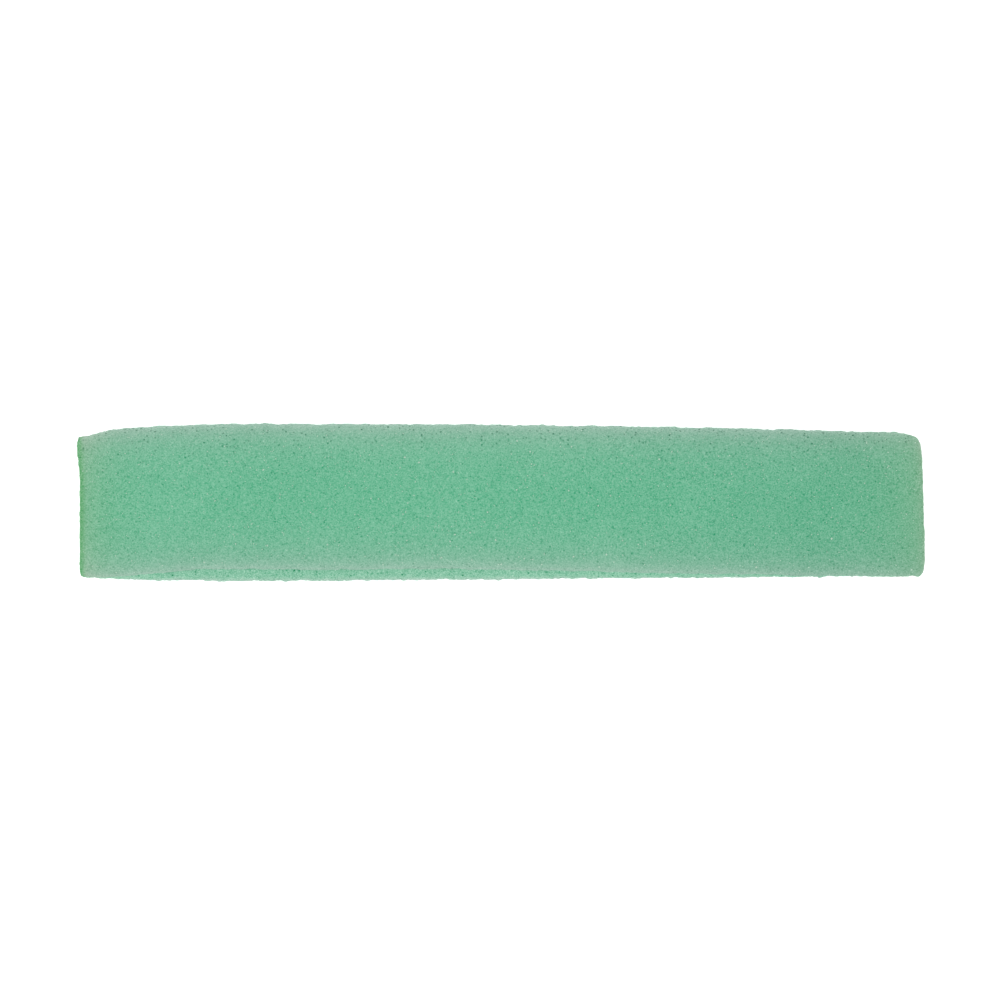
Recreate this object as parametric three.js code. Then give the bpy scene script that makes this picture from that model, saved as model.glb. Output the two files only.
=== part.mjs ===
// A flexible foam sanding stick: a bar of fine open-cell foam with an abrasive skin on each broad face.
// Each skin is a bond coat that soaks into the foam and a layer of grit held by it.
//
// The stick lies flat on its lower working face. Millimetres, +X along the stick, +Y across it,
// +Z up through the upper working face. The origin is the centre of the base.

import * as THREE from 'three';

// Driving dimensions.
const stickLength = 89.95;
const stickThickness = 10;
const faceWidth = 15.36; // of the lower face, and of the upper one with the lip
const edgeRoll = 1.8; // radius of the rolled long edges
const bondThickness = 0.15;
const gritThickness = 0.3;

// The bar was cut a little askew, so its back and front sides bow apart across the stick.
// A bow is fullest at widestAt and gone one reach away from it, and its powers shape how it goes.
const widestAt = -24;
const reachToLeftEnd = 21;
const reachToRightEnd = 64;
const backBow = { depth: 0.88, leftPower: 2.4, rightPower: 2.3 };
const frontBow = { depth: 0.5, leftPower: 4, rightPower: 1.1 };

// The right end is cut out of square: millimetres along the stick for each one across it. The left end
// is square, but its back corner juts out, from its start across the stick to its full length.
const rightEndSkew = 0.028;
const leftJut = { start: 2.4, full: 7, length: 0.34, reach: 3 };

// Seen from above, each corner of the stick is a rounded cut. Length runs along the stick and depth
// across it.
const leftBackCorner = { length: 0.3, depth: 0.25 };
const leftFrontCorner = { length: 0.35, depth: 0.25 };
const rightBackCorner = { length: 0.9, depth: 1.4 };
const rightFrontCorner = { length: 0.9, depth: 1.5 };

// Both back corners are pared too: a shallow step in the side, from its start to its full depth.
const leftParing = { start: 3.4, full: 0.8, depth: 0.47 };
const rightParing = { start: 2.4, full: 1, depth: 0.25 };

// The upper skin stops part way round its front edge, and the bare foam swells out below it as a lip.
// The lip grows from lipStart, is at its full width in the middle, and wanes again to lipEnd.
const frontRollAngle = THREE.MathUtils.degToRad(45);
const lipWidth = 1.2;
const lipHeight = 1.6;
const lipFirstAngle = THREE.MathUtils.degToRad(25); // where it leaves the skin, on its own ellipse
const lipStart = -45;
const lipFullFrom = -31;
const lipFullTo = -15;
const lipEnd = 46;
const flankWaist = 0.3; // how far each flank is drawn in at half height

// How finely the curves are faceted.
const rollSegments = 5;
const lipSegments = 4;
const flankSegments = 6;
const endReach = 4;
const endSteps = 8;
const middleSteps = 14;

const quarterTurn = Math.PI / 2;
const outerDepth = 0;
const gritDepth = gritThickness;
const coreDepth = gritThickness + bondThickness;

const materials = {
  foam: new THREE.MeshStandardMaterial({ color: 0x74b795, roughness: 0.95, metalness: 0 }),
  bond: new THREE.MeshStandardMaterial({ color: 0x5f9f83, roughness: 0.6, metalness: 0 }),
  grit: new THREE.MeshStandardMaterial({ color: 0x80bb9c, roughness: 0.85, metalness: 0 }),
};

const { smoothstep, lerp } = THREE.MathUtils;

// How far a corner cuts in from the side of the stick, at a distance from the end of the stick.
function cornerInset(corner, distanceFromEnd) {
  if (distanceFromEnd >= corner.length) return 0;
  const along = 1 - distanceFromEnd / corner.length;
  return corner.depth * (1 - Math.sqrt(1 - along ** 2));
}

function paringInset(paring, distanceFromEnd) {
  return paring.depth * (1 - smoothstep(distanceFromEnd, paring.full, paring.start));
}

// How far a side bows out at a place along the stick.
function bowAt(bow, x) {
  const onLeft = x < widestAt;
  const fromWidest = Math.abs(x - widestAt) / (onLeft ? reachToLeftEnd : reachToRightEnd);
  return bow.depth * (1 - fromWidest ** (onLeft ? bow.leftPower : bow.rightPower));
}

// The sides of both faces at a place along the stick.
function sidesAt(x) {
  const fromLeft = x + stickLength / 2;
  const fromRight = stickLength / 2 - x;
  const backCut =
    cornerInset(leftBackCorner, fromLeft) + cornerInset(rightBackCorner, fromRight) +
    paringInset(leftParing, fromLeft) + paringInset(rightParing, fromRight);
  const frontCut = cornerInset(leftFrontCorner, fromLeft) + cornerInset(rightFrontCorner, fromRight);
  const lipShare = smoothstep(x, lipStart, lipFullFrom) * (1 - smoothstep(x, lipFullTo, lipEnd));
  const lowerFront = -faceWidth / 2 - bowAt(frontBow, x) + frontCut;
  return {
    upperBack: faceWidth / 2 + bowAt(backBow, x) - backCut,
    upperFront: lowerFront + lipWidth * lipShare,
    lowerBack: faceWidth / 2 - bowAt(frontBow, x) - backCut,
    lowerFront,
  };
}

// How far a point moves along the stick, for the right end's skew and the left end's jutting corner.
function endShift(x, y) {
  const fromLeft = x + stickLength / 2;
  const skew = (rightEndSkew * fromLeft) / stickLength;
  const jut = leftJut.length * smoothstep(y, leftJut.start, leftJut.full);
  return -skew * y - jut * (1 - smoothstep(fromLeft, 0, leftJut.reach));
}

// Points on a circular arc in the section plane, where a point's x and y are the stick's Y and Z.
function arc(centreY, centreZ, radius, startAngle, endAngle) {
  const points = [];
  for (let step = 0; step <= rollSegments; step += 1) {
    const angle = startAngle + ((endAngle - startAngle) * step) / rollSegments;
    points.push(new THREE.Vector2(centreY + radius * Math.cos(angle), centreZ + radius * Math.sin(angle)));
  }
  return points;
}

// The upper face at a depth below its surface, from its back edge over the top to its front edge.
function upperCurve(sides, depth) {
  const radius = edgeRoll - depth;
  const centreZ = stickThickness - edgeRoll;
  const frontCentre = sides.upperFront + edgeRoll * Math.sin(frontRollAngle);
  return [
    ...arc(sides.upperBack - edgeRoll, centreZ, radius, 0, quarterTurn),
    ...arc(frontCentre, centreZ, radius, quarterTurn, quarterTurn + frontRollAngle),
  ];
}

// The lower face at a depth above its surface, from its front edge under the stick to its back edge.
function lowerCurve(sides, depth) {
  const radius = edgeRoll - depth;
  return [
    ...arc(sides.lowerFront + edgeRoll, edgeRoll, radius, 2 * quarterTurn, 3 * quarterTurn),
    ...arc(sides.lowerBack - edgeRoll, edgeRoll, radius, 3 * quarterTurn, 4 * quarterTurn),
  ];
}

// The points between the two ends of a flank, drawn in at half height. Neither end is included.
function flank(start, end) {
  const inward = -Math.sign(start.x) * flankWaist;
  const points = [];
  for (let step = 1; step < flankSegments; step += 1) {
    const along = step / flankSegments;
    const y = lerp(start.x, end.x, smoothstep(along, 0, 1)) + inward * Math.sin(Math.PI * along) ** 2;
    points.push(new THREE.Vector2(y, lerp(start.y, end.y, along)));
  }
  return points;
}

// The lip of bare foam below the upper skin's front edge, part of an ellipse. The edge is left out.
function lip(edge, outermostY) {
  const firstSine = Math.sin(lipFirstAngle);
  const firstCosine = Math.cos(lipFirstAngle);
  const points = [];
  for (let step = 1; step <= lipSegments; step += 1) {
    const angle = lerp(lipFirstAngle, quarterTurn, step / lipSegments);
    const outward = (Math.sin(angle) - firstSine) / (1 - firstSine);
    const down = 1 - Math.cos(angle) / firstCosine;
    points.push(new THREE.Vector2(lerp(edge.x, outermostY, outward), edge.y - lipHeight * down));
  }
  return points;
}

// The foam's outline, counterclockwise in Y and Z. It steps in under the edge of each skin.
function coreOutline(sides) {
  const lower = [outerDepth, gritDepth, coreDepth].map((depth) => lowerCurve(sides, depth));
  const upper = [outerDepth, gritDepth, coreDepth].map((depth) => upperCurve(sides, depth));
  const lowerBackEdge = lower[0].at(-1);
  const upperBackEdge = upper[0][0];
  const upperFrontEdge = upper[0].at(-1);
  const lowerFrontEdge = lower[0][0];
  const frontLip = lip(upperFrontEdge, lowerFrontEdge.x);
  return [
    ...lower[2],
    lower[1].at(-1),
    lowerBackEdge,
    ...flank(lowerBackEdge, upperBackEdge),
    upperBackEdge,
    upper[1][0],
    ...upper[2],
    upper[1].at(-1),
    upperFrontEdge,
    ...frontLip,
    ...flank(frontLip.at(-1), lowerFrontEdge),
    lowerFrontEdge,
    lower[1][0],
  ];
}

// The outline of a layer on one face between two depths, counterclockwise in Y and Z.
function layerOutline(curve, topDepth, bottomDepth) {
  return (sides) => [...curve(sides, topDepth), ...curve(sides, bottomDepth).reverse()];
}

// The places of the sections along the stick: close together towards the ends, wider in the middle.
function stationPlaces() {
  const half = stickLength / 2;
  const middleLength = stickLength - 2 * endReach;
  const fromEnd = [];
  for (let step = 0; step < endSteps; step += 1) {
    fromEnd.push(endReach * (step / endSteps) ** 2);
  }
  const places = fromEnd.map((distance) => distance - half);
  for (let step = 0; step <= middleSteps; step += 1) {
    places.push(endReach - half + (middleLength * step) / middleSteps);
  }
  return [...places, ...fromEnd.reverse().map((distance) => half - distance)];
}

// A solid through an outline's sections, closed at both ends.
function loft(outlineAt) {
  const sections = stationPlaces().map((x) => ({ x, outline: outlineAt(sidesAt(x)) }));
  const positions = [];
  for (const { x, outline } of sections) {
    for (const point of outline) positions.push(x + endShift(x, point.x), point.x, point.y);
  }

  const count = sections[0].outline.length;
  const indices = [];
  for (let section = 0; section < sections.length - 1; section += 1) {
    for (let corner = 0; corner < count; corner += 1) {
      const next = (corner + 1) % count;
      const here = section * count;
      const ahead = here + count;
      indices.push(here + corner, here + next, ahead + next);
      indices.push(here + corner, ahead + next, ahead + corner);
    }
  }

  const last = (sections.length - 1) * count;
  for (const [a, b, c] of THREE.ShapeUtils.triangulateShape(sections[0].outline, [])) {
    indices.push(c, b, a);
  }
  for (const [a, b, c] of THREE.ShapeUtils.triangulateShape(sections.at(-1).outline, [])) {
    indices.push(last + a, last + b, last + c);
  }

  const geometry = new THREE.BufferGeometry();
  geometry.setAttribute('position', new THREE.Float32BufferAttribute(positions, 3));
  geometry.setIndex(indices);
  geometry.computeVertexNormals();
  return geometry;
}

function piece(name, outlineAt, material) {
  const mesh = new THREE.Mesh(loft(outlineAt), material);
  mesh.name = name;
  return mesh;
}

const stick = new THREE.Group();
stick.add(
  piece('foam_core', coreOutline, materials.foam),
  piece('upper_bond_coat', layerOutline(upperCurve, gritDepth, coreDepth), materials.bond),
  piece('upper_grit_layer', layerOutline(upperCurve, outerDepth, gritDepth), materials.grit),
  piece('lower_bond_coat', layerOutline(lowerCurve, gritDepth, coreDepth), materials.bond),
  piece('lower_grit_layer', layerOutline(lowerCurve, outerDepth, gritDepth), materials.grit),
);

// Bring the middle of the stick's length and width over the origin.
const middle = new THREE.Box3().setFromObject(stick).getCenter(new THREE.Vector3());
stick.position.set(-middle.x, -middle.y, 0);

export default stick;
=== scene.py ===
"""The looks of a flexible foam sanding stick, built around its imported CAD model.

The foam bar and its two abrasive skins are closed meshes with real pores and grain, laid over the
same section as the CAD part. The shape is worked out in millimetres, and built in metres.
"""

import math

import bmesh
import bpy
import numpy as np
from mathutils import Euler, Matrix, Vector, noise


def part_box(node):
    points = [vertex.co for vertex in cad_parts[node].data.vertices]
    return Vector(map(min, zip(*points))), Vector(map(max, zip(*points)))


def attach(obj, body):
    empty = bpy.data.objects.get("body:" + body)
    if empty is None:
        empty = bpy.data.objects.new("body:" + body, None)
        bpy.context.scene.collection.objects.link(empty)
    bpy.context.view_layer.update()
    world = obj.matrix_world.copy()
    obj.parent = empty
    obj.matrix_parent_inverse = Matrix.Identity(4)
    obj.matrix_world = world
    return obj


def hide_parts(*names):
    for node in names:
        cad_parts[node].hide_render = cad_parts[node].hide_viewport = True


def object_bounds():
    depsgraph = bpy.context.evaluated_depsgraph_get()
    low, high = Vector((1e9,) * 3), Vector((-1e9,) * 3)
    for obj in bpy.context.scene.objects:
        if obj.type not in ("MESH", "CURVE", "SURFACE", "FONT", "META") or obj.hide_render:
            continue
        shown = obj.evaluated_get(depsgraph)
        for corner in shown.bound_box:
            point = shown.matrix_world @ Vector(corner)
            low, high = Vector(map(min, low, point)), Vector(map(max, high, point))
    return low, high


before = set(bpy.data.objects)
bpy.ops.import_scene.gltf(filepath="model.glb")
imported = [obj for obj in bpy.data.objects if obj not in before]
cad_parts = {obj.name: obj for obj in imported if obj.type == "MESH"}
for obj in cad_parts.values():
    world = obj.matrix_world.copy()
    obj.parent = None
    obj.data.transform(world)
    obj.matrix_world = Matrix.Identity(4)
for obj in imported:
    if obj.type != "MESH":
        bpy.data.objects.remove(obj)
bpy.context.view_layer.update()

MM = 0.001
QUARTER_TURN = math.pi / 2

# ---------------------------------------------------------------- driving dimensions, as in the CAD part
STICK_LENGTH = 89.95
STICK_THICKNESS = 10.0
FACE_WIDTH = 15.36
EDGE_ROLL = 1.8
BOND_THICKNESS = 0.15
GRIT_THICKNESS = 0.3
WIDEST_AT = -24.0
REACH_TO_LEFT_END = 21.0
REACH_TO_RIGHT_END = 64.0
BACK_BOW = (0.88, 2.4, 2.3)  # its depth, and the powers that shape it to the left and to the right
FRONT_BOW = (0.5, 4, 1.1)
RIGHT_END_SKEW = 0.028  # millimetres along the stick for each one across it
LEFT_JUT = (2.4, 7.0, 0.34, 3.0)  # of the back corner: its start and full place across, length and reach
FRONT_ROLL_ANGLE = math.radians(45)
LIP_WIDTH = 1.2
LIP_HEIGHT = 1.6
LIP_FIRST_ANGLE = math.radians(25)
LIP_START, LIP_FULL_FROM, LIP_FULL_TO, LIP_END = -45.0, -31.0, -15.0, 46.0
FLANK_WAIST = 0.3

# Each corner of the outline seen from above: its length along the stick and its depth across it.
LEFT_BACK_CORNER = (0.3, 0.25)
LEFT_FRONT_CORNER = (0.35, 0.25)
RIGHT_BACK_CORNER = (0.9, 1.4)
RIGHT_FRONT_CORNER = (0.9, 1.5)

# The shallow step pared off each back corner: where it starts, where it is full, and its depth.
LEFT_PARING = (3.4, 0.8, 0.47)
RIGHT_PARING = (2.4, 1.0, 0.25)

# ---------------------------------------------------------------- the visual mesh's own dimensions
END_ROUNDING = 0.18  # how far the edges around each end are worn back
FINE_PITCH = 0.135  # between vertices on the surfaces that show
COARSE_STEP = 8  # fine steps to each face of a hidden surface
BOND_PITCH = 0.45
WALL_STEPS = 2  # faces through the thickness of a skin
SHARP_ANGLE = math.radians(65)  # keeps the square edges of the layers crisp
WELD_DISTANCE = 1e-4  # below which two vertices are one

CORE_DEPTH = GRIT_THICKNESS + BOND_THICKNESS
HALF_LENGTH = STICK_LENGTH / 2
LIP_SHARE = 0.28  # of the front flank's samples
LIP_EXTRA_LENGTH = 1.2  # what the lip's curve adds to the flank's length
FLANK_LENGTH = STICK_THICKNESS - 2 * EDGE_ROLL + LIP_EXTRA_LENGTH
FACE_LENGTH = FACE_WIDTH + EDGE_ROLL  # across a face and its rolls

# The relief is weakest at the border of each sheet, and grows to its full depth a fade further in.
BORDER_RELIEF = 0.15
SKIN_FADE, SKIN_END_FADE, FOAM_FADE = 0.02, 0.004, 0.04  # as shares of the sheet

# The swell of a surface: the size, strength and seed of each noise. It is weak where the surface is flat.
SWELLS = ((0.9, 1.0, 2), (0.38, 0.6, 3))
FLAT_SWELL = 0.3
PORE_MEAN, PORE_SPREAD = 0.55, 0.45  # of the depth of pores
PORE_CORE, PORE_RIM = 0.1, 0.5  # where a pore is full and where it ends, in pore spacings

NOISE_STRIDES = (17.3, 5.9, 11.1)  # between two seeds, in feature sizes
PROBE_ROWS, PROBE_COLUMNS = 600, 60  # of the points that measure the stick's own box

GRAINS_PER_FACE = 1800
GRAIN_SIZE = 0.12
GRAIN_SIZE_SPREAD = 0.3
GRAIN_STRETCH = (0.6, 1.2)
GRAIN_PROUD = 0.2  # how far a grain's middle stands out, in radii
GRAINS_WHERE_SHARE = 0.9  # grains sit only where the relief is stronger than this

# The unevenness of the whole bar: the axis that moves, the size of the bumps, their depth and a seed.
UNEVENNESS = (
    (0, 0.8, 0.05, 11),
    (0, 0.35, 0.04, 12),
    (1, 5.0, 0.08, 3),
    (1, 1.4, 0.08, 4),
    (1, 0.7, 0.07, 13),
    (1, 0.35, 0.05, 14),
    (2, 5.0, 0.05, 5),
)

# Where the surface's colour shifts; the pale long edges are partly wear and partly painted sheen. Each pair
# is a share at an edge and how far in it dies away.
# The grit's long edges: paler from wear and from painted sheen. The front's narrow first term is painted
# light along the crease.
BACK_EDGE_WEAR_AND_SHEEN = ((0.46, 1.8),)
FRONT_EDGE_WEAR_AND_SHEEN = ((0.08, 0.3), (0.38, 1.9))
LEFT_END_WARMTH = ((0.2, 2.4),)
RIGHT_END_WARMTH = ((0.16, 3.5), (0.06, 0.4))
RIGHT_END_PALENESS = ((0.03, 3.0), (0.12, 0.4))
EDGES_FADING_AT_RIGHT = ((0.5, 4.0),)  # how the long edges' paleness weakens there
WORN_BACK_EDGE = ((1.0, 1.6),)
# The foam: a pale tint all over, then painted light, paler on the flanks and a painted highlight on the front
# lip.
# The plain green left under the skin's edge stands for the shade there.
FOAM_PALENESS, FLANK_PAINTED_LIGHT, LIP_PAINTED_HIGHLIGHT = 0.15, 0.17, 0.28
LIP_FADES_FROM, LIP_PALE_BELOW, LIP_GREEN_ABOVE = 3.0, 7.4, 9.3  # heights
LIP_PALE_WITHIN, LIP_PALE_END = 1.0, 3.0  # in from the front side
LEFT_RIM_START, LEFT_RIM_END = 0.05, 0.85  # the darker rim of the left end, from the end inwards
LEFT_WALL_SHARE = 0.3  # of the rim's colour, on the rest of that end
LEFT_WALL_HEIGHTS = (6.5, 9.0)  # between which it grows to the rim's own
DARK_PATCH_AT = 37.0
DARK_PATCH_REACH = 19.0

# ---------------------------------------------------------------- colours, light and camera
GREEN_FOAM = (111, 182, 147)
GREEN_GRIT = (101, 176, 140)
# The pale colour stands for wear and painted sheen on the grit, and for the foam's pale tint and painted
# light.
PALE_TINT_AND_PAINTED_LIGHT = (178, 179, 180)
SANDY = (180, 172, 132)
CUT_END = (96, 162, 110)
CRYSTAL = (178, 207, 188)
# The pore colour is painted shade, for the inside of the open cells.
PORE_SHADE = (44, 92, 74)
DARK_RESIN, PALE_RESIN = (112, 170, 140), (132, 186, 158)
DARK_PATCH_SHARE = 0.09
DARK_PATCH_TONE = -0.008
# Painted shade in the pores: how much each takes of the pore colour, and how much more along the worn back
# edge.
PORE_SHADE_SHARE = 0.2
OPEN_PORE_SHADE_SHARE = 0.65
# Painted shade: how dark a pore in the mesh is painted.
RELIEF_PORE_SHADE = 0.3  # how much a pore in the mesh darkens, next to one in the material
PORE_FULL, PORE_END = 0.12, 0.38  # in cells
SHADER_GRAIN_SIZE = 0.11
SPECKLE_SIZE = 0.15
SPARKLE_SPACING = 1.0
SPARKLE_FULL, SPARKLE_END = 0.05, 0.16  # in spacings
MOTTLES_PER_METRE = 160.0
MOTTLE_TONE = 0.045
RESIN_CLOUDS_PER_METRE = 900.0
PORE_VARIETY = (0.25, 1.0, 0.2, 1)  # a cell's random number from and to, and its pore's depth at each
FOAM_ROUGHNESS = (0.75, 0.95)
FOAM_BUMP, FOAM_BUMP_DEPTH = 0.4, 0.03
FOAM_SPECULAR, FOAM_SHEEN, FOAM_SHEEN_ROUGHNESS = 0.3, 0.08, 0.5
RESIN_CLOUD_RANGE = (0.3, 0.7)
RESIN_ROUGHNESS = (0.35, 0.6)
RESIN_BUMP, RESIN_BUMP_DEPTH = 0.3, 0.02
CRYSTAL_ROUGHNESS = 0.35
FLOOR_ROUGHNESS = 0.8

# Lengths here are in metres, apart from the camera's offset and its sensor's width, in millimetres.
TENT_STRENGTH = 1.0
SOFTBOX_WATTS = 1.0
SOFTBOX_SIZE = 0.8
SOFTBOX_AT = (-0.15, -0.25, 0.7)
FLOOR_SIZE = 6
FLOOR_GAP = 0.02 * MM
FLOOR_SHADE = 0.92
FLOOR_GLOW = 0.5
CAMERA_DISTANCE = 0.8
CAMERA_OFFSET = (-0.09, 0.25)  # from the middle of the stick
CAMERA_REACH = 20
SENSOR_WIDTH = 36
VIEW_WIDTH = 0.10658


# ---------------------------------------------------------------- the stick's section
def smooth(value, low, high):
    """0 at low, 1 at high and an even curve between."""
    t = np.clip((value - low) / (high - low), 0, 1)
    return t * t * (3 - 2 * t)


def corner_inset(corner, distance_from_end):
    """How far a corner cuts in from the side, at a distance from the end."""
    length, depth = corner
    along = np.clip(1 - distance_from_end / length, 0, 1)
    return depth * (1 - np.sqrt(1 - along**2))


def paring_inset(paring, distance_from_end):
    start, full, depth = paring
    return depth * (1 - smooth(distance_from_end, full, start))


def bow_at(bow, x):
    """How far a side bows out at places along the stick."""
    depth, left_power, right_power = bow
    on_left = x < WIDEST_AT
    from_widest = np.abs(x - WIDEST_AT) / np.where(on_left, REACH_TO_LEFT_END, REACH_TO_RIGHT_END)
    return depth * (1 - from_widest ** np.where(on_left, left_power, right_power))


def sides_at(face, x):
    """The back and front side of a face at places along the stick."""
    from_left = x + HALF_LENGTH
    from_right = HALF_LENGTH - x
    back_cut = corner_inset(LEFT_BACK_CORNER, from_left) + corner_inset(RIGHT_BACK_CORNER, from_right)
    back_cut = back_cut + paring_inset(LEFT_PARING, from_left) + paring_inset(RIGHT_PARING, from_right)
    front_cut = corner_inset(LEFT_FRONT_CORNER, from_left) + corner_inset(RIGHT_FRONT_CORNER, from_right)
    lower_front = -FACE_WIDTH / 2 - bow_at(FRONT_BOW, x) + front_cut
    if face == "lower":
        return FACE_WIDTH / 2 - bow_at(FRONT_BOW, x) - back_cut, lower_front
    lip_share = smooth(x, LIP_START, LIP_FULL_FROM) * (1 - smooth(x, LIP_FULL_TO, LIP_END))
    return FACE_WIDTH / 2 + bow_at(BACK_BOW, x) - back_cut, lower_front + LIP_WIDTH * lip_share


def worn_depth(x):
    """How far the surface is worn back close to either end."""
    along = np.clip(1 - (HALF_LENGTH - np.abs(x)) / END_ROUNDING, 0, 1)
    return END_ROUNDING * (1 - np.sqrt(1 - along**2))


def end_shift(x, y):
    """How far points move along the stick, for the right end's skew and the left end's jutting corner."""
    start, full, length, reach = LEFT_JUT
    from_left = x + HALF_LENGTH
    jut = length * smooth(y, start, full) * (1 - smooth(from_left, 0, reach))
    return -RIGHT_END_SKEW * y * from_left / STICK_LENGTH - jut


def placed(x, y, z):
    """Points of the stick, at their final place along it."""
    x, y, z = np.broadcast_arrays(x, y, z)
    return np.stack((x + end_shift(x, y), y, z), axis=-1)


def face_point(face, x, t, depth):
    """A point of a face at a depth below its surface. t runs from the back edge, 0, to the front edge, 1."""
    back, front = sides_at(face, x)
    front_angle = FRONT_ROLL_ANGLE if face == "upper" else QUARTER_TURN
    back_centre = back - EDGE_ROLL
    front_centre = front + EDGE_ROLL * math.sin(front_angle)
    flat_length = FACE_WIDTH - EDGE_ROLL * (1 + math.sin(front_angle))
    total = flat_length + EDGE_ROLL * (QUARTER_TURN + front_angle)
    back_share = EDGE_ROLL * QUARTER_TURN / total
    front_share = EDGE_ROLL * front_angle / total
    across_back = np.clip(t / back_share, 0, 1)
    across_flat = np.clip((t - back_share) / (1 - back_share - front_share), 0, 1)
    across_front = np.clip((t - 1 + front_share) / front_share, 0, 1)
    tilt = QUARTER_TURN * (1 - across_back) - front_angle * across_front
    centre = back_centre + (front_centre - back_centre) * across_flat
    radius = EDGE_ROLL - depth
    rise = radius * np.cos(tilt)
    z = STICK_THICKNESS - EDGE_ROLL + rise if face == "upper" else EDGE_ROLL - rise
    return placed(x, centre + radius * np.sin(tilt), z)


def flank_point(side, x, t):
    """A point of the bare foam between the faces. t runs from the upper skin, 0, to the lower one, 1."""
    edge = 0.0 if side == "back" else 1.0
    top = face_point("upper", x, edge, worn_depth(x))
    bottom = face_point("lower", x, edge, worn_depth(x))
    if side == "back":
        lean = t * t * (3 - 2 * t)
        y = top[..., 1] + (bottom[..., 1] - top[..., 1]) * lean - FLANK_WAIST * np.sin(math.pi * t) ** 2
        return placed(x, y, top[..., 2] + (bottom[..., 2] - top[..., 2]) * t)
    swing = LIP_FIRST_ANGLE + (QUARTER_TURN - LIP_FIRST_ANGLE) * np.clip(t / LIP_SHARE, 0, 1)
    outward = (np.sin(swing) - math.sin(LIP_FIRST_ANGLE)) / (1 - math.sin(LIP_FIRST_ANGLE))
    down = 1 - np.cos(swing) / math.cos(LIP_FIRST_ANGLE)
    below = np.clip((t - LIP_SHARE) / (1 - LIP_SHARE), 0, 1)
    y = top[..., 1] + (bottom[..., 1] - top[..., 1]) * outward
    y = y + FLANK_WAIST * np.sin(math.pi * below) ** 2
    z = top[..., 2] - LIP_HEIGHT * down
    return placed(x, y, z + (bottom[..., 2] - z) * below)


def steps(length, pitch):
    """Evenly spaced values from 0 to 1, about a pitch apart along a length."""
    return np.linspace(0, 1, max(2, round(length / pitch) + 1))


# ---------------------------------------------------------------- sheets of faces that close into a solid
class Shell:
    """Collects grids of points into one closed mesh. share is 1 where relief shows and 0 where it doesn't."""

    def __init__(self):
        self.points = []
        self.shares = []
        self.faces = []
        self.count = 0

    def add_points(self, grid, share):
        ids = self.count + np.arange(grid.shape[0] * grid.shape[1]).reshape(grid.shape[:2])
        self.points.append(grid.reshape(-1, 3))
        self.shares.append(np.broadcast_to(share, grid.shape[:2]).reshape(-1))
        self.count += ids.size
        return ids

    def fine(self, grid, share=1.0):
        """A grid with a face between every four neighbours."""
        ids = self.add_points(grid, share)
        quads = np.stack((ids[:-1, :-1], ids[1:, :-1], ids[1:, 1:], ids[:-1, 1:]), axis=-1)
        self.faces.extend(quads.reshape(-1, 4).tolist())

    def coarse(self, grid):
        """A hidden grid: large faces, which still meet every vertex along the grid's own border."""
        ids = self.add_points(grid, 0.0)
        rows, columns = ids.shape
        row_marks = sorted(set(range(0, rows - 1, COARSE_STEP)) | {rows - 1})
        column_marks = sorted(set(range(0, columns - 1, COARSE_STEP)) | {columns - 1})
        for r0, r1 in zip(row_marks, row_marks[1:]):
            for c0, c1 in zip(column_marks, column_marks[1:]):
                row_stride = [r1 - r0 if c not in (0, columns - 1) else 1 for c in (c0, c1)]
                column_stride = [c1 - c0 if r not in (0, rows - 1) else 1 for r in (r0, r1)]
                loop = [ids[r, c0] for r in range(r0, r1, row_stride[0])]
                loop += [ids[r1, c] for c in range(c0, c1, column_stride[1])]
                loop += [ids[r, c1] for r in range(r1, r0, -row_stride[1])]
                loop += [ids[r0, c] for c in range(c1, c0, -column_stride[0])]
                self.faces.append([int(i) for i in loop])

    def build(self, name, shift):
        """The closed mesh object, in metres, with the share kept as an attribute."""
        mesh = bpy.data.meshes.new(name)
        mesh.from_pydata((np.concatenate(self.points) + shift) * MM, [], self.faces)
        share = mesh.attributes.new("share", "FLOAT", "POINT")
        share.data.foreach_set("value", np.concatenate(self.shares).astype(np.float32))
        work = bmesh.new()
        work.from_mesh(mesh)
        bmesh.ops.remove_doubles(work, verts=work.verts, dist=WELD_DISTANCE * MM)
        loose = [v for v in work.verts if not v.link_faces]
        bmesh.ops.delete(work, geom=loose, context="VERTS")
        bmesh.ops.recalc_face_normals(work, faces=work.faces)
        open_edges = sum(1 for e in work.edges if len(e.link_faces) != 2)
        print(name, len(work.verts), "vertices,", len(work.faces), "faces,", open_edges, "open edges")
        work.to_mesh(mesh)
        work.free()
        obj = bpy.data.objects.new(name, mesh)
        bpy.context.scene.collection.objects.link(obj)
        mesh.shade_smooth()
        mesh.set_sharp_from_angle(angle=SHARP_ANGLE)
        return obj


def fade(t, width):
    """Rises from 0 at both ends of t to 1 a width in."""
    return np.clip(np.minimum(t, 1 - t) / width, 0, 1)


def relief_share(inset):
    """How strongly relief shows at an inset from a sheet's border, which is 0 there and 1 further in."""
    return BORDER_RELIEF + (1 - BORDER_RELIEF) * inset


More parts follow.
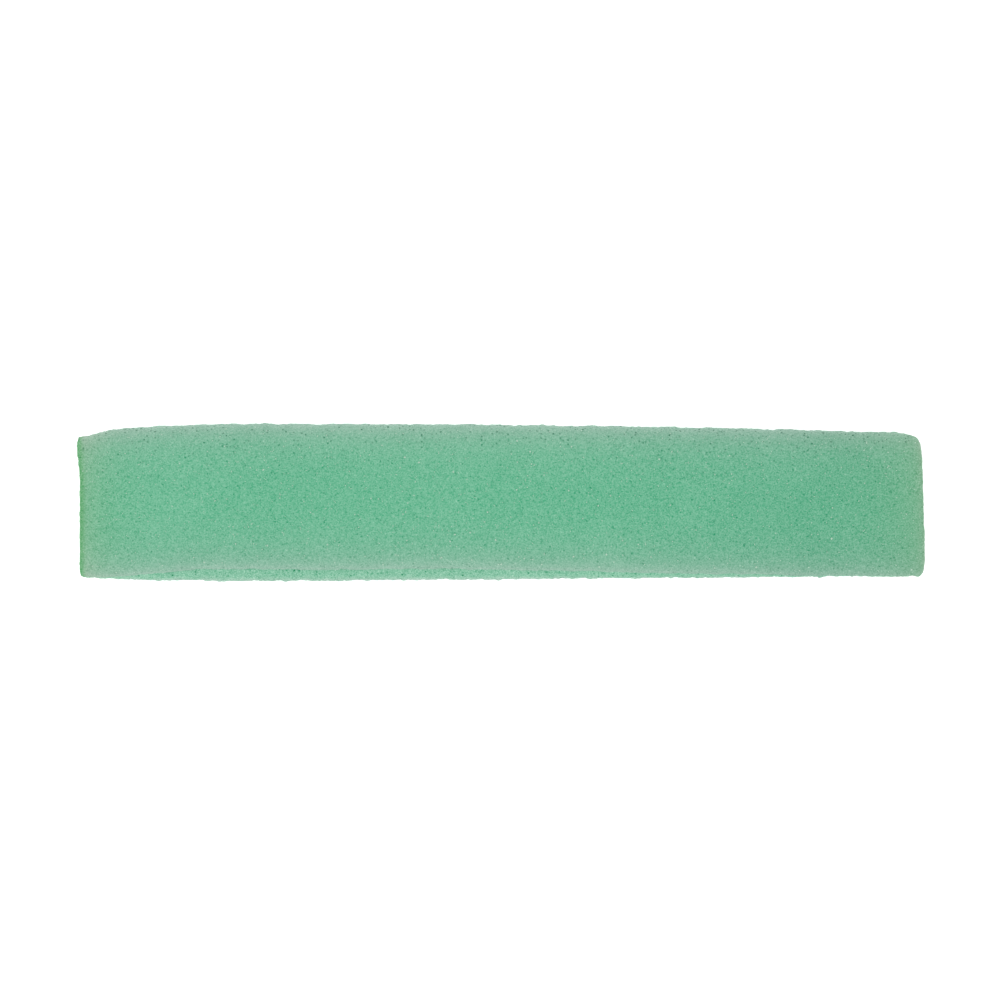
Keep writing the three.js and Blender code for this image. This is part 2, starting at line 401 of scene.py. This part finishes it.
def build_layer(name, face, top_depth, bottom_depth, pitch, wear):
    """A layer of one skin between two depths, its outer surface fine and its inner one coarse.

    wear is 1 for an outer layer, whose ends are worn back, and 0 for one that lies under another.
    """
    x = (steps(STICK_LENGTH, pitch) - 0.5)[:, None] * STICK_LENGTH
    t = steps(FACE_LENGTH, pitch)[None, :]
    shell = Shell()
    share = relief_share(fade(t, SKIN_FADE) * fade(x / STICK_LENGTH + 0.5, SKIN_END_FADE))
    shell.fine(face_point(face, x, t, top_depth + wear * worn_depth(x)), share)
    shell.coarse(face_point(face, x, t, bottom_depth + 0 * x))
    through = np.linspace(0, 1, WALL_STEPS + 1)
    for edge in (0.0, 1.0):
        top = top_depth + wear * worn_depth(x)
        depth = top + (bottom_depth - top) * through[None, :]
        shell.fine(face_point(face, x, edge, depth), BORDER_RELIEF * (1 - through[None, :]))
    for end in (-HALF_LENGTH, HALF_LENGTH):
        top = top_depth + wear * worn_depth(np.array(end))
        depth = top + (bottom_depth - top) * through[:, None]
        shell.fine(face_point(face, np.array(end), t, depth), BORDER_RELIEF * (1 - through[:, None]))
    return shell.build(name, shift)


def seat_point(face, x, t, ledge):
    """A point of the foam under a skin. ledge is 0 at the flank's edge and 1 on the foam's own face."""
    worn = worn_depth(x)
    return face_point(face, x, t, worn + (CORE_DEPTH - worn) * ledge)


def end_wall(end, seat_t, seat_ledge, flank_t):
    """The cut end of the foam, stretched between its four borders."""
    x = np.array(end)
    top = seat_point("upper", x, seat_t, seat_ledge)[:, None]
    bottom = seat_point("lower", x, seat_t, seat_ledge)[:, None]
    back = flank_point("back", x, flank_t)[None, :]
    front = flank_point("front", x, flank_t)[None, :]
    across = np.linspace(0, 1, len(seat_t))[:, None, None]
    down = np.linspace(0, 1, len(flank_t))[None, :, None]
    corners = (1 - across) * (1 - down) * top[:1] + across * (1 - down) * top[-1:]
    corners = corners + (1 - across) * down * bottom[:1] + across * down * bottom[-1:]
    return (1 - down) * top + down * bottom + (1 - across) * back + across * front - corners


def build_core(name):
    """The foam bar: fine flanks and ends, and coarse faces under the skins."""
    x = (steps(STICK_LENGTH, FINE_PITCH) - 0.5)[:, None] * STICK_LENGTH
    flank_t = steps(FLANK_LENGTH, FINE_PITCH)
    inner_t = steps(FACE_LENGTH, FINE_PITCH)
    seat_t = np.concatenate(([0, 0], inner_t, [1, 1]))
    seat_ledge = np.concatenate(([0, 0.5], np.ones(len(inner_t)), [0.5, 0]))
    shell = Shell()
    for side in ("back", "front"):
        share = relief_share(fade(flank_t, FOAM_FADE)[None, :])
        shell.fine(flank_point(side, x, flank_t[None, :]), share)
    for face in ("upper", "lower"):
        shell.coarse(seat_point(face, x, seat_t[None, :], seat_ledge[None, :]))
    for end in (-HALF_LENGTH, HALF_LENGTH):
        wall = end_wall(end, seat_t, seat_ledge, flank_t)
        across = relief_share(fade(np.linspace(0, 1, wall.shape[0]), FOAM_FADE)[:, None])
        shell.fine(wall, across * relief_share(fade(flank_t, FOAM_FADE)[None, :]))
    return shell.build(name, shift)


# The CAD part's middle is over the origin, and the pieces here are shifted onto the middle of its box.
probe_x = np.linspace(-HALF_LENGTH, HALF_LENGTH, PROBE_ROWS)[:, None]
probe_t = np.linspace(0, 1, PROBE_COLUMNS)[None, :]
probe = np.concatenate((
    face_point("upper", probe_x, probe_t, 0.0).reshape(-1, 3),
    flank_point("front", probe_x, probe_t).reshape(-1, 3),
))
cad_low, cad_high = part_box("foam_core")
grit_low, grit_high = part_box("upper_grit_layer")
shift = np.array([
    (cad_low.x + cad_high.x) / 2 / MM - (probe[:, 0].min() + probe[:, 0].max()) / 2,
    (min(cad_low.y, grit_low.y) + max(cad_high.y, grit_high.y)) / 2 / MM
    - (probe[:, 1].min() + probe[:, 1].max()) / 2,
    0.0,
])


# ---------------------------------------------------------------- relief
def noise_offset(seed):
    """The place in the noise where a seed's own stretch begins."""
    return Vector([seed * stride for stride in NOISE_STRIDES])


def noise_at(points, size, seed):
    """A smooth noise from about -1 to 1, with features of about the given size in millimetres."""
    offset = noise_offset(seed)
    return np.array([noise.noise(Vector(p) / size + offset) for p in points])


def pores_at(points, size, seed):
    """1 in the middle of a pore and 0 between pores, which are about a size apart."""
    offset = noise_offset(seed)
    distance = np.array([noise.voronoi(Vector(p) / size + offset)[0][0] for p in points])
    return 1 - smooth(distance, PORE_CORE, PORE_RIM)


def read_vertices(obj):
    """The vertices and their normals, and each one's share of the relief."""
    mesh = obj.data
    points = np.empty(len(mesh.vertices) * 3)
    normals = np.empty(len(mesh.vertices) * 3)
    share = np.empty(len(mesh.vertices))
    mesh.vertices.foreach_get("co", points)
    mesh.vertex_normals.foreach_get("vector", normals)
    mesh.attributes["share"].data.foreach_get("value", share)
    return points.reshape(-1, 3) / MM, normals.reshape(-1, 3), share


def keep_attribute(obj, name, values):
    attribute = obj.data.attributes.new(name, "FLOAT", "POINT")
    attribute.data.foreach_set("value", values.astype(np.float32))


def wobble(points):
    """The unevenness of the whole bar, which every piece follows alike."""
    moved = points.copy()
    for axis, size, depth, seed in UNEVENNESS:
        moved[:, axis] += depth * noise_at(points, size, seed)
    return moved


def on_section(points):
    """Each point's place along the stick before its ends were shifted, and its place across it."""
    x, y = (points - shift)[:, :2].T
    return x - end_shift(x, y), y


def dying_away(distance, terms):
    """The sum of the terms at a distance in from an edge."""
    inwards = np.maximum(distance, 0)
    return sum(share * np.exp(-inwards / reach) for share, reach in terms)


def skin_wear_and_sheen(face, points):
    """How far the grit is pale: from wear and from painted sheen, most at the rolled long edges."""
    x, y = on_section(points)
    back, front = sides_at(face, x)
    at_sides = dying_away(back - y, BACK_EDGE_WEAR_AND_SHEEN) + dying_away(y - front, FRONT_EDGE_WEAR_AND_SHEEN)
    at_sides = at_sides * (1 - dying_away(HALF_LENGTH - x, EDGES_FADING_AT_RIGHT))
    return at_sides + dying_away(HALF_LENGTH - x, RIGHT_END_PALENESS)


def foam_tint_and_painted_light(points):
    """Pale tint and painted light on the bare foam: green in the shade under the skin's edge, and a painted
    highlight, palest, where the front lip stands out most.
    """
    x, y = on_section(points)
    _, front = sides_at("lower", x)
    height = points[:, 2]
    outwards = 1 - smooth(height, LIP_PALE_BELOW, LIP_GREEN_ABOVE)
    near_front = 1 - smooth(y - front, LIP_PALE_WITHIN, LIP_PALE_END)
    on_lip = smooth(height, LIP_FADES_FROM, LIP_PALE_BELOW) * near_front
    return FOAM_PALENESS + outwards * (FLANK_PAINTED_LIGHT + LIP_PAINTED_HIGHLIGHT * on_lip)


def warmth(points):
    """How far the surface has gone warm and sandy, close to the ends."""
    x, _ = on_section(points)
    return dying_away(x + HALF_LENGTH, LEFT_END_WARMTH) + dying_away(HALF_LENGTH - x, RIGHT_END_WARMTH)


def dark_patch(points):
    """A broad patch of the stick, towards its right end, is a little darker."""
    x, _ = on_section(points)
    return np.exp(-(((x - DARK_PATCH_AT) / DARK_PATCH_REACH) ** 2))


def open_pores(points):
    """1 along the upper back edge, where the grit is worn and the pores stand open."""
    x, y = on_section(points)
    back, _ = sides_at("upper", x)
    return dying_away(back - y, WORN_BACK_EDGE)


def left_rim(points):
    """How far the foam is darker and yellower at the left end: fully on its upper rim, and less below."""
    x, _ = on_section(points)
    upwards = LEFT_WALL_SHARE + (1 - LEFT_WALL_SHARE) * smooth(points[:, 2], *LEFT_WALL_HEIGHTS)
    return upwards * (1 - smooth(x + HALF_LENGTH, LEFT_RIM_START, LEFT_RIM_END))


def roughen(obj, pore_size, pore_depth, swell_depth, seed):
    """Gives a surface its pores, grain and uneven swell."""
    points, normals, share = read_vertices(obj)
    pores = pores_at(points, pore_size, seed)
    pores = pores * (PORE_MEAN + PORE_SPREAD * noise_at(points, pore_size * 2, seed + 1))
    swell = sum(strength * noise_at(points, size, seed + step) for size, strength, step in SWELLS)
    steepness = 1 - np.abs(normals[:, 2])
    height = swell_depth * swell * (FLAT_SWELL + steepness) - pore_depth * pores
    moved = wobble(points) + normals * (height * share)[:, None]
    moved[:, 2] = np.maximum(moved[:, 2], 0)
    obj.data.vertices.foreach_set("co", (moved * MM).reshape(-1))
    obj.data.update()
    keep_attribute(obj, "pore", pores * share)
    keep_attribute(obj, "left_rim", left_rim(points))
    keep_attribute(obj, "warm", warmth(points))
    keep_attribute(obj, "dark_patch", dark_patch(points))
    keep_attribute(obj, "open_pores", open_pores(points))
    return points


def scatter_grains(name, skin, count, seed):
    """Abrasive grains that stand out of a skin: small eight-sided crystals, about half sunk into it."""
    random = np.random.default_rng(seed)
    points, normals, share = read_vertices(skin)
    candidates = np.flatnonzero(share > GRAINS_WHERE_SHARE)
    chosen = random.choice(candidates, count, replace=False)
    corners = np.array([(1, 0, 0), (-1, 0, 0), (0, 1, 0), (0, -1, 0), (0, 0, 1), (0, 0, -1)], float)
    sides = [(0, 2, 4), (2, 1, 4), (1, 3, 4), (3, 0, 4), (2, 0, 5), (1, 2, 5), (3, 1, 5), (0, 3, 5)]
    vertices = []
    faces = []
    for at in chosen:
        turn = Euler(random.uniform(0, 2 * math.pi, 3)).to_matrix()
        radius = GRAIN_SIZE * random.lognormal(0, GRAIN_SIZE_SPREAD) / 2
        stretch = random.uniform(*GRAIN_STRETCH, 3)
        crystal = (corners * stretch * radius) @ np.array(turn)
        base = len(vertices)
        vertices.extend(crystal + points[at] + normals[at] * radius * GRAIN_PROUD)
        faces.extend((a + base, b + base, c + base) for a, b, c in sides)
    mesh = bpy.data.meshes.new(name)
    mesh.from_pydata(np.array(vertices) * MM, [], faces)
    obj = bpy.data.objects.new(name, mesh)
    bpy.context.scene.collection.objects.link(obj)
    return obj


# ---------------------------------------------------------------- materials
def to_linear(red, green, blue):
    """A colour given as it looks on a screen, 0 to 255, in linear light."""
    shares = [c / 255 for c in (red, green, blue)]
    return [s / 12.92 if s <= 0.04045 else ((s + 0.055) / 1.055) ** 2.4 for s in shares] + [1]


class Graph:
    """A material's nodes. add() makes a node, and links or sets its inputs."""

    def __init__(self, name):
        self.material = bpy.data.materials.new(name)
        self.material.use_nodes = True
        self.tree = self.material.node_tree
        self.shader = self.tree.nodes["Principled BSDF"]

    def feed(self, node, inputs):
        for key, value in inputs.items():
            if isinstance(value, bpy.types.NodeSocket):
                self.tree.links.new(value, node.inputs[key])
            else:
                node.inputs[key].default_value = value

    def add(self, kind, inputs, output=0, **settings):
        node = self.tree.nodes.new(kind)
        for key, value in settings.items():
            setattr(node, key, value)
        self.feed(node, inputs)
        return node.outputs[output]

    def math(self, operation, first, second, third=0.0):
        inputs = {0: first, 1: second, 2: third}
        return self.add("ShaderNodeMath", inputs, operation=operation)

    def remap(self, value, low, high, to_low, to_high):
        inputs = {"Value": value, "From Min": low, "From Max": high, "To Min": to_low, "To Max": to_high}
        return self.add("ShaderNodeMapRange", inputs, interpolation_type="SMOOTHSTEP")

    def mix(self, factor, first, second, blend="MIX"):
        inputs = {0: factor, 6: first, 7: second}
        return self.add("ShaderNodeMix", inputs, output=2, data_type="RGBA", blend_type=blend)

    def attribute(self, name):
        return self.add("ShaderNodeAttribute", {}, output="Fac", attribute_name=name)


def cellular_material(name, green, pore_size, pore_shade_tone, grain_tone, speckle_tone, sparkle_tone):
    """Green foam or grit: pores darkened with painted shade, a speckle of grains and pale points, and paler
    where it is worn and where sheen and light are painted on.
    """
    graph = Graph(name)
    place = graph.add("ShaderNodeTexCoord", {}, output="Object")
    cells = {"Vector": place, "Scale": 1 / (pore_size * MM), "Randomness": 1.0}
    distance = graph.add("ShaderNodeTexVoronoi", cells, output="Distance")
    cell_colour = graph.add("ShaderNodeTexVoronoi", cells, output="Color")
    chance = graph.add("ShaderNodeSeparateColor", {"Color": cell_colour})
    pore = graph.remap(distance, PORE_FULL, PORE_END, 1, 0)
    pore = graph.math("MULTIPLY", pore, graph.remap(chance, *PORE_VARIETY))
    grains = {"Vector": place, "Scale": 1 / (SHADER_GRAIN_SIZE * MM), "Randomness": 1.0}
    grain_colour = graph.add("ShaderNodeTexVoronoi", grains, output="Color")
    grain = graph.add("ShaderNodeSeparateColor", {"Color": grain_colour})
    points = {"Vector": place, "Scale": 1 / (SPARKLE_SPACING * MM), "Randomness": 1.0}
    point_distance = graph.add("ShaderNodeTexVoronoi", points, output="Distance")
    sparkle = graph.remap(point_distance, SPARKLE_FULL, SPARKLE_END, 1, 0)
    specks = {"Vector": place, "Scale": 1 / (SPECKLE_SIZE * MM), "Detail": 1.0}
    speckle = graph.add("ShaderNodeTexNoise", specks)
    mottles = {"Vector": place, "Scale": MOTTLES_PER_METRE, "Detail": 2.0}
    mottle = graph.add("ShaderNodeTexNoise", mottles)
    tone = graph.math("MULTIPLY", graph.math("SUBTRACT", grain, 0.5), grain_tone)
    tone = graph.math("MULTIPLY_ADD", graph.math("SUBTRACT", speckle, 0.5), speckle_tone, tone)
    # painted shade in the pores of the material
    tone = graph.math("MULTIPLY_ADD", pore, -pore_shade_tone, tone)
    tone = graph.math("MULTIPLY_ADD", sparkle, sparkle_tone, tone)
    tone = graph.math("MULTIPLY_ADD", graph.math("SUBTRACT", mottle, 0.5), MOTTLE_TONE, tone)
    # and painted shade in the mesh's own pores
    tone = graph.math("MULTIPLY_ADD", graph.attribute("pore"), -pore_shade_tone * RELIEF_PORE_SHADE, tone)
    # Paleness from wear and painted sheen on the grit, and painted light on the foam's flanks and lip.
    colour = graph.mix(graph.attribute("pale"), to_linear(*green), to_linear(*PALE_TINT_AND_PAINTED_LIGHT))
    colour = graph.mix(graph.attribute("warm"), colour, to_linear(*SANDY))
    colour = graph.mix(graph.attribute("left_rim"), colour, to_linear(*CUT_END))
    # The pores take more painted shade along the worn back edge.
    depth = graph.math("MULTIPLY_ADD", graph.attribute("open_pores"), OPEN_PORE_SHADE_SHARE, PORE_SHADE_SHARE)
    dark_patch_here = graph.attribute("dark_patch")
    tone = graph.math("MULTIPLY_ADD", dark_patch_here, DARK_PATCH_TONE, tone)
    darkness = graph.math("MULTIPLY", dark_patch_here, DARK_PATCH_SHARE)
    darkness = graph.math("MULTIPLY_ADD", pore, depth, darkness)
    colour = graph.mix(darkness, colour, to_linear(*PORE_SHADE))
    colour = graph.mix(1.0, colour, tone, blend="ADD")
    roughness = graph.remap(grain, 0, 1, *FOAM_ROUGHNESS)
    relief = {"Strength": FOAM_BUMP, "Distance": FOAM_BUMP_DEPTH * MM, "Height": tone}
    bump = graph.add("ShaderNodeBump", relief)
    graph.feed(graph.shader, {"Base Color": colour, "Roughness": roughness, "Normal": bump})
    sheen = {"Sheen Weight": FOAM_SHEEN, "Sheen Roughness": FOAM_SHEEN_ROUGHNESS}
    graph.feed(graph.shader, {"Specular IOR Level": FOAM_SPECULAR, **sheen})
    return graph.material


def bond_material():
    """Cured resin: smooth, a little glossy, faintly uneven in colour."""
    graph = Graph("resin_bond")
    place = graph.add("ShaderNodeTexCoord", {}, output="Object")
    clouds = {"Vector": place, "Scale": RESIN_CLOUDS_PER_METRE, "Detail": 3.0}
    cloud = graph.add("ShaderNodeTexNoise", clouds)
    colour = graph.mix(cloud, to_linear(*DARK_RESIN), to_linear(*PALE_RESIN))
    relief = {"Strength": RESIN_BUMP, "Distance": RESIN_BUMP_DEPTH * MM, "Height": cloud}
    bump = graph.add("ShaderNodeBump", relief)
    roughness = graph.remap(cloud, *RESIN_CLOUD_RANGE, *RESIN_ROUGHNESS)
    graph.feed(graph.shader, {"Base Color": colour, "Roughness": roughness, "Normal": bump})
    return graph.material


def grain_material():
    """The abrasive's pale crystals, glossier than the foam."""
    graph = Graph("abrasive_grain")
    graph.feed(graph.shader, {"Base Color": to_linear(*CRYSTAL), "Roughness": CRYSTAL_ROUGHNESS})
    return graph.material


# ---------------------------------------------------------------- stage, lights, camera
def make_stage():
    bpy.ops.mesh.primitive_plane_add(size=FLOOR_SIZE, location=(0, 0, -FLOOR_GAP))
    floor = bpy.context.object
    floor.name = "pale_floor"
    graph = Graph("pale_floor")
    glow = {"Emission Color": (1, 1, 1, 1), "Emission Strength": FLOOR_GLOW}
    colour = (FLOOR_SHADE, FLOOR_SHADE, FLOOR_SHADE, 1)
    graph.feed(graph.shader, {"Base Color": colour, "Roughness": FLOOR_ROUGHNESS, **glow})
    floor.data.materials.append(graph.material)


def make_lights():
    """A white tent of light, with a broad softbox overhead."""
    world = bpy.data.worlds.new("light_tent")
    bpy.context.scene.world = world
    world.use_nodes = True
    world.node_tree.nodes["Background"].inputs["Color"].default_value = (1, 1, 1, 1)
    world.node_tree.nodes["Background"].inputs["Strength"].default_value = TENT_STRENGTH
    light = bpy.data.lights.new("softbox", "AREA")
    light.size = SOFTBOX_SIZE
    light.energy = SOFTBOX_WATTS
    softbox = bpy.data.objects.new("softbox", light)
    softbox.location = SOFTBOX_AT
    softbox.rotation_euler = (-softbox.location).to_track_quat("-Z", "Y").to_euler()
    bpy.context.scene.collection.objects.link(softbox)


def make_camera():
    """Looks straight down on the upper face from far off, as a long lens does."""
    low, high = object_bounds()
    data = bpy.data.cameras.new("camera")
    data.sensor_width = SENSOR_WIDTH
    data.lens = data.sensor_width * CAMERA_DISTANCE / VIEW_WIDTH
    data.clip_end = CAMERA_REACH
    camera = bpy.data.objects.new("camera", data)
    middle = (low + high) / 2
    right, up = CAMERA_OFFSET
    camera.location = (middle.x + right * MM, middle.y + up * MM, high.z + CAMERA_DISTANCE)
    bpy.context.scene.collection.objects.link(camera)
    bpy.context.scene.camera = camera
    bpy.context.scene.view_settings.view_transform = "Standard"


make_camera()
make_stage()
make_lights()


# ---------------------------------------------------------------- the pieces
def finish_piece(obj, material, slot, *nodes):
    obj.data.materials.append(material)
    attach(obj, "root")
    if nodes:
        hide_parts(*nodes)


foam_tones = {"pore_shade_tone": 0.12, "grain_tone": 0.12, "speckle_tone": 0.44, "sparkle_tone": 0.04}
grit_tones = {"pore_shade_tone": 0.045, "grain_tone": 0.07, "speckle_tone": 0.26, "sparkle_tone": 0.06}
foam = cellular_material("green_foam", GREEN_FOAM, pore_size=0.5, **foam_tones)
grit = cellular_material("gritty_skin", GREEN_GRIT, pore_size=0.4, **grit_tones)
resin = bond_material()
crystal = grain_material()

foam_bar = build_core("foam_bar")
foam_points = roughen(foam_bar, pore_size=0.55, pore_depth=0.08, swell_depth=0.09, seed=10)
# The foam's pale tint, and the painted light on its flanks and lip.
keep_attribute(foam_bar, "pale", foam_tint_and_painted_light(foam_points))
finish_piece(foam_bar, foam, "foam", "foam_core")

for face, seed in (("upper", 20), ("lower", 30)):
    skin = build_layer(f"{face}_grit_skin", face, 0.0, GRIT_THICKNESS, FINE_PITCH, wear=1)
    skin_points = roughen(skin, pore_size=0.45, pore_depth=0.05, swell_depth=0.06, seed=seed)
    # The grit's paleness: wear and painted sheen at its edges.
    keep_attribute(skin, "pale", skin_wear_and_sheen(face, skin_points))
    finish_piece(skin, grit, "grit", f"{face}_grit_layer")
    grains = scatter_grains(f"{face}_grit_grains", skin, GRAINS_PER_FACE, seed)
    finish_piece(grains, crystal, "grit")
    bond = build_layer(f"{face}_resin_bond", face, GRIT_THICKNESS, CORE_DEPTH, BOND_PITCH, wear=0)
    roughen(bond, pore_size=0.45, pore_depth=0.0, swell_depth=0.0, seed=40)
    finish_piece(bond, resin, "bond_coat", f"{face}_bond_coat")
